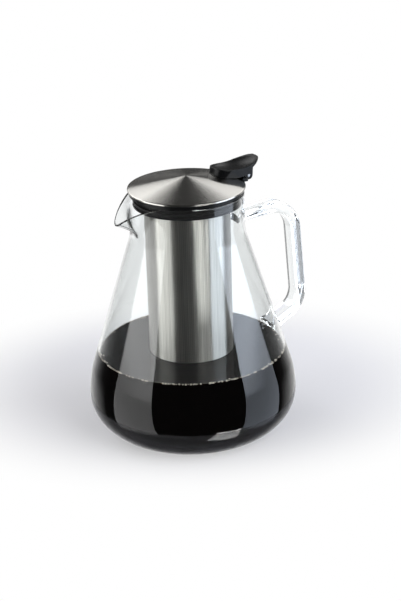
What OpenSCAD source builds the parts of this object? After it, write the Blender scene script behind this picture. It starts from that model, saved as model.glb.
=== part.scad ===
// Glass jug with a hanging steel infuser, a plug collar and a hinged lid with a thumb lever.
// Millimetres. The jug's axis is Z and its base stands on Z = 0.
// The handle points along +X and the spout along -X.

/* [Jug] */
// Outer diameter at the bulge
jug_d = 150; // [140:1:160]
// Height of the widest ring
bulge_z = 30; // [26:1:34]
// Radius of the shoulder arc above the bulge
shoulder_r = 75; // [65:1:85]
// Diameter of the flat base
base_d = 80; // [70:1:90]
// Outer diameter of the neck
neck_d = 80.6; // [79.6:0.2:81.6]
// Height where the cone becomes the neck
neck_z = 151.5; // [148.5:0.5:153.5]
// Height of the glass rim
rim_z = 179.8; // [178.4:0.2:181.4]
// Glass thickness of the wall
wall = 2; // [1.6:0.1:2.2]
// Glass thickness of the floor
floor_t = 3; // [2.5:0.5:4]

/* [Spout] */
// Distance of the spout's tip from the axis
spout_reach = 56.4; // [53.4:0.2:59.4]
// Drop of the tip below the rim
spout_drop = 13.1; // [11:0.1:15]
// Exponent of the flare from neck to lip
spout_flare = 2.1; // [1.8:0.1:2.6]
// Half angle over which the tip is rounded
spout_round = 4.5; // [4:0.5:9]

/* [Handle] */
// Width of the glass bar
handle_w = 14; // [12:0.5:15]
// Thickness of the bar along the grip
handle_t = 8.5; // [7.5:0.5:9.5]
// Thickness of the bar where it leaves the neck
handle_root_t = 5; // [4:0.5:7]
// Bend radius of the upper corner
handle_top_bend = 20; // [17:1:23]
// Bend radius of the lower corner
handle_low_bend = 18; // [14:1:20]

/* [Collar] */
// Height of the plug inside the neck
plug_h = 8; // [7:0.5:9]
// Thickness of the flange that sits on the rim
flange_t = 2.3; // [2:0.1:2.6]
// Number of sealing lips
lip_count = 3; // [2:1:4]

/* [Infuser] */
// Outer diameter of the sleeve
sleeve_d = 60.4; // [58:0.2:61]
// Sheet thickness
sheet_t = 0.5; // [0.4:0.1:0.8]
// Height of the infuser's underside above the table
infuser_z = 22; // [18:1:30]

/* [Lid] */
// Diameter of the dome
lid_d = 82.6; // [82:0.1:83]
// Rise of the dome above its edge
dome_h = 7.9; // [7:0.1:8.5]
// Height of the dome's upright edge
lid_edge_h = 1; // [0.9:0.1:1.4]
// Exponent of the dome's profile, 1 is a cone and 2 is near a sphere
dome_power = 1.15; // [1.1:0.05:1.5]

/* [Lever] */
// Length of the thumb paddle
lever_l = 35; // [33.5:0.5:36.5]
// Width of the thumb paddle
lever_w = 21.8; // [20.4:0.2:22.8]
// Diameter of the hinge pin
pin_d = 2; // [1.8:0.1:2.4]
// Distance of the hinge pin from the axis
pin_x = 46; // [45.6:0.1:46.6]

/* [Hidden] */
$fn = 96;
small_fn = 32;
hole_fn = 48;
ear_fn = 64;
scoop_fn = 128;

glass_tint = [0.85, 0.92, 0.92, 0.35];
plastic_black = [0.10, 0.10, 0.11];
silicone_black = [0.16, 0.16, 0.17];
steel_brushed = [0.78, 0.78, 0.77];
steel_plain = [0.66, 0.67, 0.68];

// Clearances: between bodies, between touching pieces of one body, of a pin that turns, of a pin or
// thread that is held fast, and of a screw in a plain hole
body_gap = 0.3;
seat_gap = 0.05;
pin_gap = 0.05;
fast_gap = 0.01;
screw_gap = 0.1;

// Jug radii
jug_r = jug_d / 2;
base_r = base_d / 2;
neck_r = neck_d / 2;
neck_in_r = neck_r - wall;
curve_steps = 14;

// Reach of a cut that goes right through, and of one that only has to pass a face
far = 400;
past = 1;

// Spout: its edges leave the neck as tangents, and its lip dips along an arc
spout_spread = acos(neck_r / spout_reach);
spout_root_x = neck_r * cos(spout_spread);
spout_run = spout_reach - spout_root_x;
spout_arc_r = (spout_run * spout_run + spout_drop * spout_drop) / (2 * spout_drop);
spout_margin = 4;
spout_limit = spout_spread + spout_round + spout_margin;
spout_turns = 36;
back_turns = 40;

// Neck: its wall starts as a key set into the flat top of the cone's wall
neck_wall = wall - 2 * seat_gap;
neck_foot = 0.3;
neck_foot_z = neck_z + neck_foot;
neck_key_out = 0.2;
neck_key_in = 0.8;
neck_key_h = 1;
neck_rows = 9;
neck_probe = 0.001;
rim_steps = 4;

// Handle: its centre line has a root on the neck, two rounded corners and a root on the cone
handle_path = [[38, 152.9], [86.1, 156.8], [92.4, 76.2], [60.1, 59.5]];
handle_sides = 20;
handle_bend_steps = 12;
handle_run_steps = 6;
handle_square = 4;
handle_thin_l = 34;

// Collar
flange_z = rim_z + body_gap;
collar_top = flange_z + flange_t;
plug_z = rim_z - plug_h;
sleeve_r = sleeve_d / 2;
sleeve_gap = 0.4;
collar_in_r = sleeve_r + sleeve_gap;
seal_t = 3;
plug_r = neck_in_r - seal_t;
seal_r = neck_in_r - body_gap;
lip_h = 1.1;
seal_web = 1.2;
lip_root_r = plug_r + seal_web;
infuser_rim_w = 3.9;
infuser_rim_r = sleeve_r + infuser_rim_w;
infuser_rim_t = 1.2;
seat_z = collar_top - infuser_rim_t - body_gap;
cup_h = 6;

// Hinge: a knuckle on a post of the collar, between two ears on the lever
pin_lift = 2.9;
pin_z = collar_top + pin_lift;
pin_r = pin_d / 2;
knuckle_r = 2.8;
knuckle_w = 11.8;
knuckle_gap = 0.6;
post_back = 1;
ear_r = 3;
ear_gap_w = 12.4;
ear_outer_w = 18.4;
ear_slot_l = 12;
pin_inset = 0.3;

// Lid
lid_r = lid_d / 2;
lid_gap = 0.4;
lid_bottom = collar_top + lid_gap;
dome_z = lid_bottom + lid_edge_h;
dome_t = 0.8;
dome_top = dome_z + dome_h;
liner_sink = 0.1;
liner_bottom = lid_bottom + liner_sink;
liner_r = lid_r - dome_t - seat_gap;
liner_t = 2;
liner_rim_w = 8;
lid_seal_r = 35.5;
lid_seal_w = 2.2;
lid_seal_h = 0.6;

// Lever
lever_front_x = 22.4;
lever_mid_x = lever_front_x + lever_l / 2;
lever_tip_x = lever_front_x + lever_l;
lever_square = 2.6;
lever_turns = 72;
lever_rise = 4.8;
lever_lip_z = dome_top + lever_rise;
lever_wall_drop = 2;
lever_wall_z = lever_lip_z - lever_wall_drop;
lever_neck_drop = 5.6;
lever_neck_z = lever_lip_z - lever_neck_drop;
lever_back = 4;
lever_rake = 14;
lever_dip = 4.5;
lever_dish = 1.2;
lever_rim_w = 1.4;
lever_tip_t = 1.8;
saddle_shift = 5.4;
dish_shift = 2;
saddle_x = lever_mid_x - saddle_shift;
saddle_half = lever_tip_x - saddle_x;
saddle_r = (saddle_half * saddle_half + lever_dip * lever_dip) / (2 * lever_dip);
saddle_z = lever_lip_z - lever_dip + saddle_r;
dish_x = saddle_x + dish_shift;
dish_half = lever_w / 2 - lever_rim_w;
dish_r = (dish_half * dish_half + lever_dish * lever_dish) / (2 * lever_dish);
dish_z = lever_lip_z - lever_dip - lever_dish + dish_r;
ear_back_x = pin_x + ear_r;

// Screws from the liner into the lever
screw_x = [25, 31];
screw_r = 1.4;
screw_head_r = 2.6;
screw_head_h = 1.2;
boss_r = 4.4;
boss_drop = 0.8;
boss_z = dome_z - boss_drop;
screw_cover = 1.1;
screw_tip_z = lever_lip_z - lever_dip - lever_dish - screw_cover;

// Points along an arc, angles in degrees
function arc(c, r, a0, a1, steps) =
    [for (i = [0:steps]) let (a = a0 + (a1 - a0) * i / steps) c + r * [cos(a), sin(a)]];
function unit(v) = v / norm(v);

// The shoulder arc ends where the straight cone that reaches the neck touches it.
// The cone leans by that angle.
shoulder_c = [jug_r - shoulder_r, bulge_z];
shoulder_to_neck = [neck_r, neck_z] - shoulder_c;
cone_lean = atan2(shoulder_to_neck[1], shoulder_to_neck[0]) - acos(shoulder_r / norm(shoulder_to_neck));

// Half section of the jug, inset from the outside, from floor to top
function jug_section(inset, floor_z, top_z) = concat(
    [[0, floor_z]],
    [for (i = [0:curve_steps]) let (a = -90 + 90 * i / curve_steps)
        [base_r + (jug_r - base_r - inset) * cos(a), bulge_z + (bulge_z - floor_z) * sin(a)]],
    arc(shoulder_c, shoulder_r - inset, cone_lean / curve_steps, cone_lean, curve_steps - 1),
    [[neck_r - inset, neck_z - inset * tan(cone_lean / 2)], [neck_r - inset, top_z], [0, top_z]]);

module jug_solid(inset, floor_z, top_z) {
    rotate_extrude() polygon(jug_section(inset, floor_z, top_z));
}

// Spout: plan radius of the lip at an angle from the tip, and height of the lip there
function soft_angle(a) = sqrt(a * a + spout_round * spout_round) - spout_round;
function lip_r(a) = neck_r / cos(max(0, spout_spread - soft_angle(a)));
function lip_z(a) =
    let (run = min(spout_run, max(0, lip_r(a) * cos(a) - spout_root_x)))
    rim_z - spout_arc_r + sqrt(spout_arc_r * spout_arc_r - run * run);

// Outside of the neck as [radius, height], from its foot (v = 0) to its lip (v = 1)
function neck_out(a, v) =
    [neck_r - seat_gap + (lip_r(a) - neck_r) * pow(v, spout_flare),
     neck_foot_z + v * (lip_z(a) - neck_wall / 2 - neck_foot_z)];
function neck_way(a, v) = unit(neck_out(a, v + neck_probe) - neck_out(a, v));
function neck_in(a, v) = let (t = neck_way(a, v)) neck_out(a, v) + neck_wall * [-t[1], t[0]];

// Closed section of the neck wall at an angle: up the outside, over the round rim, down the inside
function neck_loop(a) =
    let (out = neck_out(a, 1), into = neck_in(a, 1), t = neck_way(a, 1),
         mid = (out + into) / 2, side = (out - into) / 2)
    concat(
        [[neck_r - neck_key_out, neck_z - neck_key_h]],
        [for (j = [0:neck_rows]) neck_out(a, j / neck_rows)],
        [for (k = [1:rim_steps - 1]) let (b = 180 * k / rim_steps)
            mid + side * cos(b) + t * sin(b) * neck_wall / 2],
        [for (j = [neck_rows:-1:0]) neck_in(a, j / neck_rows)],
        [[neck_r - wall + neck_key_in, neck_z - neck_key_h]]);

// Angles round the neck, closer together along the spout
neck_angles = concat(
    [for (i = [0:spout_turns - 1]) -spout_limit + 2 * spout_limit * i / spout_turns],
    [for (i = [0:back_turns - 1]) spout_limit + (360 - 2 * spout_limit) * i / back_turns]);

module neck_shell() {
    loops = [for (a = neck_angles) [for (p = neck_loop(a)) [-p[0] * cos(a), p[0] * sin(a), p[1]]]];
    count = len(loops);
    size = len(loops[0]);
    faces = [for (i = [0:count - 1], j = [0:size - 1])
        let (i2 = (i + 1) % count, j2 = (j + 1) % size,
             a = i * size + j, b = i * size + j2, c = i2 * size + j2, d = i2 * size + j)
        each [[a, c, b], [a, d, c]]];
    polyhedron([for (loop = loops) each loop], faces);
}

module jug_body() {
    color(glass_tint) union() {
        difference() {
            jug_solid(0, 0, neck_z);
            jug_solid(wall, floor_t, rim_z);
        }
        neck_shell();
    }
}

// Handle: straight runs joined by arcs
function bend(p0, p1, p2, r) =
    let (d1 = unit(p0 - p1), d2 = unit(p2 - p1),
         half = acos(d1 * d2) / 2,
         c = p1 + unit(d1 + d2) * r / sin(half),
         s = p1 + d1 * r / tan(half) - c,
         e = p1 + d2 * r / tan(half) - c,
         a0 = atan2(s[1], s[0]),
         turn = atan2(e[1], e[0]) - a0,
         sweep = turn > 180 ? turn - 360 : turn < -180 ? turn + 360 : turn)
    arc(c, r, a0, a0 + sweep, handle_bend_steps);
function run(a, b, steps) = [for (i = [1:steps - 1]) a + (b - a) * i / steps];
handle_top = bend(handle_path[0], handle_path[1], handle_path[2], handle_top_bend);
handle_low = bend(handle_path[1], handle_path[2], handle_path[3], handle_low_bend);
handle_line = concat(
    [handle_path[0]], run(handle_path[0], handle_top[0], handle_run_steps), handle_top,
    run(handle_top[handle_bend_steps], handle_low[0], handle_run_steps), handle_low,
    run(handle_low[handle_bend_steps], handle_path[3], handle_run_steps), [handle_path[3]]);
function handle_thick(p) = p[1] < neck_z - handle_top_bend ? handle_t
    : let (k = min(1, max(0, (p[0] - neck_r) / handle_thin_l)))
      handle_root_t + (handle_t - handle_root_t) * k * k * (3 - 2 * k);
function round_square(a, power) =
    [sign(cos(a)) * pow(abs(cos(a)), 2 / power), sign(sin(a)) * pow(abs(sin(a)), 2 / power)];
function handle_ring(k) =
    let (last = len(handle_line) - 1,
         t = unit(handle_line[min(last, k + 1)] - handle_line[max(0, k - 1)]),
         p = handle_line[k])
    [for (i = [0:handle_sides - 1])
        let (u = round_square(360 * (i + 0.5) / handle_sides, handle_square),
             out = u[0] * handle_thick(p) / 2)
        [p[0] - t[1] * out, u[1] * handle_w / 2, p[1] + t[0] * out]];

module handle_bar() {
    count = len(handle_line);
    sides = handle_sides;
    points = [for (k = [0:count - 1]) each handle_ring(k)];
    skin = [for (k = [0:count - 2], i = [0:sides - 1])
        let (a = k * sides + i, b = k * sides + (i + 1) % sides)
        each [[a, a + sides, b + sides], [a, b + sides, b]]];
    start_cap = [for (i = [1:sides - 2]) [0, i, i + 1]];
    first = (count - 1) * sides;
    end_cap = [for (i = [1:sides - 2]) [first, first + i + 1, first + i]];
    polyhedron(points, concat(skin, start_cap, end_cap));
}

module jug_handle() {
    color(glass_tint) difference() {
        handle_bar();
        jug_solid(-seat_gap, 0, rim_z);
    }
}

module ring(r_in, r_out, z0, z1) {
    rotate_extrude() translate([r_in, z0]) square([r_out - r_in, z1 - z0]);
}

module pin_bore(r) {
    translate([pin_x, 0, pin_z]) rotate([90, 0, 0]) cylinder(h = far, r = r, center = true, $fn = hole_fn);
}

module collar() {
    stem_x = plug_r;
    color(plastic_black) difference() {
        union() {
            ring(collar_in_r, plug_r, plug_z, collar_top);
            ring(collar_in_r, neck_r, flange_z, collar_top);
            translate([stem_x, -knuckle_w / 2, flange_z]) cube([pin_x - stem_x, knuckle_w, flange_t]);
            translate([pin_x - knuckle_r, -knuckle_w / 2, flange_z])
                cube([knuckle_r + post_back, knuckle_w, pin_z - flange_z]);
            translate([pin_x, 0, pin_z]) rotate([90, 0, 0])
                cylinder(h = knuckle_w, r = knuckle_r, center = true, $fn = ear_fn);
        }
        ring(collar_in_r - past, infuser_rim_r + seat_gap, seat_z, far);
        pin_bore(pin_r + fast_gap);
        translate([0, 0, collar_top]) cylinder(h = far, r = neck_r);
    }
}

module collar_seal() {
    pitch = (plug_h - lip_h) / (lip_count - 1);
    color(silicone_black) union() {
        ring(plug_r + seat_gap, lip_root_r, plug_z, rim_z);
        for (k = [0:lip_count - 1])
            ring(plug_r + seat_gap, seal_r, plug_z + k * pitch, plug_z + k * pitch + lip_h);
    }
}

module infuser_sleeve() {
    color(steel_brushed) ring(sleeve_r - sheet_t, sleeve_r, infuser_z, seat_z);
}

module infuser_rim() {
    color(steel_plain) ring(sleeve_r - sheet_t, infuser_rim_r, seat_z + seat_gap, seat_z + infuser_rim_t);
}

module infuser_base() {
    cup_r = sleeve_r - sheet_t - seat_gap;
    color(steel_plain) union() {
        ring(0, cup_r, infuser_z, infuser_z + sheet_t);
        ring(cup_r - sheet_t, cup_r, infuser_z, infuser_z + cup_h);
    }
}

// Height of the dome's outside at a radius
function dome_height(r) = dome_z + dome_h * (1 - pow(r / lid_r, dome_power));
function dome_curve(drop, r_max) = [for (i = [0:curve_steps]) let (r = r_max * (1 - i / curve_steps))
    [r, dome_height(r) - drop]];
module dome_solid(drop, r_max, bottom) {
    rotate_extrude() polygon(concat([[0, bottom], [r_max, bottom]], dome_curve(drop, r_max)));
}

module screw_holes(r, top) {
    for (x = screw_x) translate([x, 0, 0]) cylinder(h = top, r = r, $fn = small_fn);
}

module lid_dome() {
    color(steel_brushed) difference() {
        dome_solid(0, lid_r, lid_bottom);
        dome_solid(dome_t, lid_r - dome_t, lid_bottom - past);
        screw_holes(screw_r + screw_gap, far);
    }
}

module lid_liner() {
    under = dome_t + seat_gap;
    color(plastic_black) difference() {
        union() {
            difference() {
                dome_solid(under, liner_r, liner_bottom);
                dome_solid(under + liner_t, liner_r - liner_rim_w, liner_bottom - past);
            }
            intersection() {
                for (x = screw_x) translate([x, 0, boss_z]) cylinder(h = far, r = boss_r, $fn = hole_fn);
                dome_solid(under, liner_r, liner_bottom);
            }
        }
        ring(lid_seal_r - lid_seal_w / 2 - seat_gap, lid_seal_r + lid_seal_w / 2 + seat_gap,
             liner_bottom - past, liner_bottom + lid_seal_h);
        screw_holes(screw_r + screw_gap, far);
        for (x = screw_x) translate([x, 0, 0])
            cylinder(h = boss_z + screw_head_h, r = screw_head_r + screw_gap, $fn = hole_fn);
    }
}

module lid_seal() {
    color(silicone_black) ring(lid_seal_r - lid_seal_w / 2, lid_seal_r + lid_seal_w / 2,
                               lid_bottom, liner_bottom + lid_seal_h - seat_gap);
}

// Side view of the lever, without its scoop
module lever_side() {
    difference() {
        union() {
            polygon([[lever_front_x - lever_back, dome_z], [pin_x - ear_r, pin_z], [ear_back_x, pin_z],
                     [ear_back_x, lever_neck_z], [lever_tip_x, lever_lip_z - lever_tip_t],
                     [lever_tip_x, lever_lip_z], [lever_front_x - lever_back, lever_lip_z]]);
            translate([pin_x, pin_z]) circle(ear_r, $fn = ear_fn);
        }
        translate([saddle_x, saddle_z]) circle(saddle_r, $fn = scoop_fn);
    }
}

// View of the lever from above, square to its raked front
module lever_plan() {
    half_l = lever_l / 2 * cos(lever_rake);
    polygon([for (i = [0:lever_turns - 1]) let (u = round_square(360 * i / lever_turns, lever_square))
        [u[0] * half_l, u[1] * lever_w / 2]]);
}

// View of the lever along the handle: its walls lean out from the ears to the lip
module lever_front() {
    half = [[ear_outer_w / 2, 0], [ear_outer_w / 2, pin_z], [lever_w / 2, lever_wall_z], [lever_w / 2, far]];
    polygon(concat(half, [for (i = [len(half) - 1:-1:0]) [-half[i][0], half[i][1]]]));
}

module lid_lever() {
    color(plastic_black) difference() {
        intersection() {
            rotate([90, 0, 0]) linear_extrude(far, center = true) lever_side();
            translate([lever_mid_x, 0, lever_lip_z]) rotate([0, lever_rake, 0])
                linear_extrude(far, center = true) lever_plan();
            rotate([90, 0, 90]) linear_extrude(far) lever_front();
        }
        translate([dish_x, 0, dish_z]) sphere(dish_r, $fn = scoop_fn);
        dome_solid(-seat_gap, lid_r + seat_gap, 0);
        pin_bore(pin_r + pin_gap);
        translate([pin_x, 0, pin_z]) rotate([90, 0, 0])
            cylinder(h = ear_gap_w, r = knuckle_r + knuckle_gap, center = true, $fn = ear_fn);
        translate([lid_r, -ear_gap_w / 2, 0]) cube([ear_slot_l, ear_gap_w, pin_z]);
        screw_holes(screw_r, screw_tip_z + seat_gap);
    }
}

module lever_screws() {
    color(steel_plain) for (x = screw_x) translate([x, 0, boss_z]) union() {
        cylinder(h = screw_head_h, r = screw_head_r, $fn = hole_fn);
        cylinder(h = screw_tip_z - boss_z, r = screw_r - fast_gap, $fn = small_fn);
    }
}

module hinge_pin() {
    color(steel_plain) translate([pin_x, 0, pin_z]) rotate([90, 0, 0])
        cylinder(h = ear_outer_w - 2 * pin_inset, r = pin_r, center = true, $fn = hole_fn);
}

jug_body();
jug_handle();
collar();
collar_seal();
infuser_sleeve();
infuser_rim();
infuser_base();
lid_dome();
lid_liner();
lid_seal();
lid_lever();
lever_screws();
hinge_pin();
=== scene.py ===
# %% [markdown]
# # A glass jug with a steel infuser
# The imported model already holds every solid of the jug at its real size. This lesson dresses it: it blows
# the glass as one smooth skin, fills it with coffee, spins the steel lid and brushes the filter. Everything
# is built in millimetres and scaled once, because that is how such a jug is drawn.

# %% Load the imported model
import math
import random

import bmesh
import bpy
from mathutils import Matrix, Vector


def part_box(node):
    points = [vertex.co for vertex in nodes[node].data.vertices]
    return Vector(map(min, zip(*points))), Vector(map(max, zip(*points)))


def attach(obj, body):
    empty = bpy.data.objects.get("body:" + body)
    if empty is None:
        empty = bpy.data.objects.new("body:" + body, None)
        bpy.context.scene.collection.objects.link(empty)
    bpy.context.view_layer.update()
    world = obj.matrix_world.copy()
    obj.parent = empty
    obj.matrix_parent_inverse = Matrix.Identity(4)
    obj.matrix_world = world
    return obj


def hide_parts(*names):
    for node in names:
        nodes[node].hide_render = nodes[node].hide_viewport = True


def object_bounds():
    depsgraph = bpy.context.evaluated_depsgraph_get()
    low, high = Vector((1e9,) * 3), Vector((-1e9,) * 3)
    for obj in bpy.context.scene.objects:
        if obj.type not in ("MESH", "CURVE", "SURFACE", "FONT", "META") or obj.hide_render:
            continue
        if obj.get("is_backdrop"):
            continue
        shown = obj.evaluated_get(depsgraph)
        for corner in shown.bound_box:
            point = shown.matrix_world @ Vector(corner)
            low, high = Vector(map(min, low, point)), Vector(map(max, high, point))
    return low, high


MM = 0.001
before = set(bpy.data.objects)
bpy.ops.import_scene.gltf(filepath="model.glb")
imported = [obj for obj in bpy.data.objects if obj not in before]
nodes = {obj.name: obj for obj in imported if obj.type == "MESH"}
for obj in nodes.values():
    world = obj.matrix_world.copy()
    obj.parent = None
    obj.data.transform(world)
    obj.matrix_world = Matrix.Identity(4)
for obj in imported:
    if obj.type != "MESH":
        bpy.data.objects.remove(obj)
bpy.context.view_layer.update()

# %% [markdown]
# ## Camera
# The photograph looks down on the jug from a little to the spout's side, with a long lens. A camera can be
# aimed by hand, but its numbers are worth keeping: distance, height angle, a slight tilt of the picture and
# a focal length that is worked out from pixels. The function that gives the way to the camera places the
# lamps later.

# %% Aim the camera
PICTURE_LONG_SIDE_PX = 601
SENSOR_MM = 36.0
FOCAL_PX = 1606.9
view_azimuth = math.radians(-30.0)
view_elevation = math.radians(22.58)
view_tilt = math.radians(-1.78)
view_distance_mm = 1150.0
view_target_mm = Vector((6.41, -3.70, 97.52))


def way_to(bearing, rise):
    """The way out from the jug at a bearing, which turns from -Y towards +X, and at a rise, in radians."""
    return Vector((math.sin(bearing) * math.cos(rise), -math.cos(bearing) * math.cos(rise), math.sin(rise)))


toward_camera = way_to(view_azimuth, view_elevation)
camera = bpy.data.objects.new("camera", bpy.data.cameras.new("camera"))
camera.data.sensor_width = SENSOR_MM
camera.data.lens = FOCAL_PX * SENSOR_MM / PICTURE_LONG_SIDE_PX
camera.location = (view_target_mm + toward_camera * view_distance_mm) * MM
aim = (-toward_camera).to_track_quat("-Z", "Y").to_matrix()
camera.rotation_euler = (aim @ Matrix.Rotation(view_tilt, 3, "Z")).to_euler()
bpy.context.scene.collection.objects.link(camera)
bpy.context.scene.camera = camera
bpy.context.scene.view_settings.view_transform = "Standard"
print("lens in mm", round(camera.data.lens, 2))

# %% [markdown]
# ## Small tools
# Materials are node trees, and meshes are points and faces. A few short functions keep the rest readable.
# One turns a screen colour into Blender's linear light, one empties a node tree and one adds a node to it.
# The others make an object from points, turn its faces outwards, draw an arc, and spin a section round the
# jug's axis.

# %% Colour and node tools
def linear(hex_colour):
    """A colour written as sRGB hex, as linear red, green, blue and alpha."""
    channels = [int(hex_colour[i:i + 2], 16) / 255 for i in (1, 3, 5)]
    return [c / 12.92 if c <= 0.04045 else ((c + 0.055) / 1.055) ** 2.4 for c in channels] + [1.0]


def with_nodes(owner):
    """The material, world or lamp, with an empty node tree."""
    owner.use_nodes = True
    owner.node_tree.nodes.clear()
    return owner


def add(owner, kind, values=None, links=None, **settings):
    """Adds a shader node to a material, world or lamp, with socket values, incoming links and settings."""
    tree = owner.node_tree
    made = tree.nodes.new("ShaderNode" + kind)
    for key, value in settings.items():
        setattr(made, key, value)
    for socket, value in (values or {}).items():
        made.inputs[socket].default_value = value
    for socket, source in (links or {}).items():
        tree.links.new(source, made.inputs[socket])
    return made


WHITE = linear("#ffffff")
print("white is", WHITE)


# %% Mesh tools
def make_piece(name, points_mm, faces, material):
    """A smooth-shaded mesh object from points in millimetres."""
    mesh = bpy.data.meshes.new(name)
    mesh.from_pydata([Vector(p) * MM for p in points_mm], [], faces)
    mesh.materials.append(material)
    mesh.shade_smooth()
    mesh.update()
    piece = bpy.data.objects.new(name, mesh)
    bpy.context.scene.collection.objects.link(piece)
    return piece


def outward(piece):
    """Turns every face of a closed mesh outwards."""
    work = bmesh.new()
    work.from_mesh(piece.data)
    bmesh.ops.recalc_face_normals(work, faces=work.faces)
    work.to_mesh(piece.data)
    work.free()


def arc(centre, radius, start, end, steps):
    """Points along an arc, with angles in radians."""
    return [(centre[0] + radius * math.cos(start + (end - start) * i / steps),
             centre[1] + radius * math.sin(start + (end - start) * i / steps)) for i in range(steps + 1)]


# %% Spinning tools
def spin(sections, angles):
    """Points and faces of a skin: one section of (radius, height) points for each angle.
    A section that starts and ends on the axis closes there, and any other is taken as a closed loop."""
    on_axis = sections[0][0][0] == 0
    body = [s[1:-1] for s in sections] if on_axis else sections
    count, size = len(body), len(body[0])
    points = [(r * math.cos(a), r * math.sin(a), z) for s, a in zip(body, angles) for r, z in s]
    rows = size - 1 if on_axis else size
    faces = []
    for i in range(count):
        here, there = i * size, (i + 1) % count * size
        faces += [(here + j, there + j, there + (j + 1) % size, here + (j + 1) % size) for j in range(rows)]
    if on_axis:
        first, last = len(points), len(points) + 1
        points += [(0, 0, sections[0][0][1]), (0, 0, sections[0][-1][1])]
        for i in range(count):
            here, there = i * size, (i + 1) % count * size
            faces += [(first, there, here), (last, here + size - 1, there + size - 1)]
    return points, faces


def turned(section, turns):
    """The same section all round the axis."""
    angles = [2 * math.pi * i / turns for i in range(turns)]
    return spin([section] * turns, angles)


# %% [markdown]
# ## Studio
# The jug stands on a pale table top in a dark room. A plain white room would be simpler, but polished steel
# and coffee would then mirror white all over. So the room gives almost no light. It is white to the camera
# and through glass, and what mirrors see of it is dark, apart from a pale sweep low down behind the jug.

# %% Room in mirrors
WALL_GLOW = 0.05
# How squarely a ray looks away from the camera where the pale sweep starts and where it is full
BACK_START = 0.35
BACK_FULL = 0.75
# How steeply a ray looks down there
SWEEP_START = -0.14
SWEEP_FULL = -0.3
room = with_nodes(bpy.data.worlds.new("white_room"))
ray = add(room, "LightPath")
way = add(room, "TexCoord")
behind = add(room, "VectorMath", {1: -way_to(view_azimuth, 0.0)}, {0: way.outputs["Generated"]},
             operation="DOT_PRODUCT")
height = add(room, "SeparateXYZ", links={"Vector": way.outputs["Generated"]})
back = add(room, "MapRange", {"From Min": BACK_START, "From Max": BACK_FULL},
           {"Value": behind.outputs["Value"]})
low = add(room, "MapRange", {"From Min": SWEEP_START, "From Max": SWEEP_FULL, "To Min": WALL_GLOW},
          {"Value": height.outputs["Z"]})
sweep = add(room, "Math", links={0: back.outputs[0], 1: low.outputs[0]}, operation="MULTIPLY")
bent = add(room, "Math", links={0: ray.outputs["Is Glossy Ray"], 1: ray.outputs["Is Transmission Ray"]},
           operation="MAXIMUM")
shown = add(room, "Math", links={0: sweep.outputs[0], 1: bent.outputs[0]}, operation="MULTIPLY")
print("the sweep is full", round(math.degrees(math.asin(-SWEEP_FULL))), "degrees down")

# %% Room through glass
# A ray that no mirror has turned sees the room almost white. One that has been mirrored inside a single
# piece of glass sees it paler the more it looks away from the camera. Depths are whole numbers, so limits
# are halves.
GLASS_FRONT_GLOW = 0.3
GLASS_BACK_GLOW = 0.88
ONE_PIECE_OF_GLASS = 3.5
UNMIRRORED = 0.5
pale = add(room, "MapRange", {"From Min": BACK_START, "To Min": GLASS_FRONT_GLOW, "To Max": GLASS_BACK_GLOW},
           {"Value": behind.outputs["Value"]})
unmirrored = add(room, "Math", {1: UNMIRRORED}, {0: ray.outputs["Glossy Depth"]}, operation="LESS_THAN")
one_piece = add(room, "Math", {1: ONE_PIECE_OF_GLASS}, {0: ray.outputs["Transmission Depth"]},
                operation="LESS_THAN")
seen_past = add(room, "Math", {1: GLASS_BACK_GLOW}, {0: unmirrored.outputs[0]}, operation="MULTIPLY")
seen_within = add(room, "Math", links={0: one_piece.outputs[0], 1: pale.outputs[0]}, operation="MULTIPLY")
either = add(room, "Math", links={0: seen_past.outputs[0], 1: seen_within.outputs[0]}, operation="MAXIMUM")
through = add(room, "Math", links={0: ray.outputs["Is Transmission Ray"], 1: either.outputs[0]},
              operation="MULTIPLY")
print("through glass the room shows at", GLASS_BACK_GLOW)

# %% White room
ROOM_GLOW = 0.025
clear = add(room, "Math", links={0: through.outputs[0], 1: shown.outputs[0]}, operation="MAXIMUM")
seen = add(room, "Math", links={0: ray.outputs["Is Camera Ray"], 1: clear.outputs[0]}, operation="MAXIMUM")
strength = add(room, "Mix", {"A": ROOM_GLOW, "B": 1.0}, {"Factor": seen.outputs[0]})
glow = add(room, "Background", {"Color": WHITE}, {"Strength": strength.outputs[0]})
add(room, "OutputWorld", links={"Surface": glow.outputs[0]})
bpy.context.scene.world = room
print("as a light the room gives", ROOM_GLOW)

# %% [markdown]
# The table is a white laminate. Round the jug it is lit like any surface and keeps the shadow, and further
# out it fades to the room's white, so that no edge of it shows. A paler floor colour can't do this, because
# a lit surface is never quite the background's white. In mirrors it thins out near the jug and is gone
# beyond that, so that the steel and the coffee mirror the dark room past it.

# %% Table fade
# The laminate gives the eye an even, dull white with a soft shadow
LAMINATE = "#ececf3"
TABLE_FRONT_MM = 110.0
LIT_SIDE_MM = 230.0
LIT_DEPTH_MM = 180.0
LEAST_WHITE = 0.25
FADE_START = 0.45
table_paint = with_nodes(bpy.data.materials.new("white_laminate"))
ray = add(table_paint, "LightPath")
place = add(table_paint, "TexCoord")
centred = add(table_paint, "Mapping", {"Location": (0, -(LIT_DEPTH_MM - TABLE_FRONT_MM) * MM, 0)},
              {"Vector": place.outputs["Object"]})
shrunk = add(table_paint, "VectorMath", {1: (1 / (LIT_SIDE_MM * MM), 1 / (LIT_DEPTH_MM * MM), 0)},
             {0: centred.outputs[0]}, operation="MULTIPLY")
away = add(table_paint, "VectorMath", links={0: shrunk.outputs[0]}, operation="LENGTH")
fade = add(table_paint, "MapRange", {"From Min": FADE_START, "From Max": 1.0, "To Min": LEAST_WHITE},
           {"Value": away.outputs["Value"]}, interpolation_type="SMOOTHSTEP")
print("the lit part is", 2 * LIT_SIDE_MM, "by", 2 * LIT_DEPTH_MM, "mm")

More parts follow.
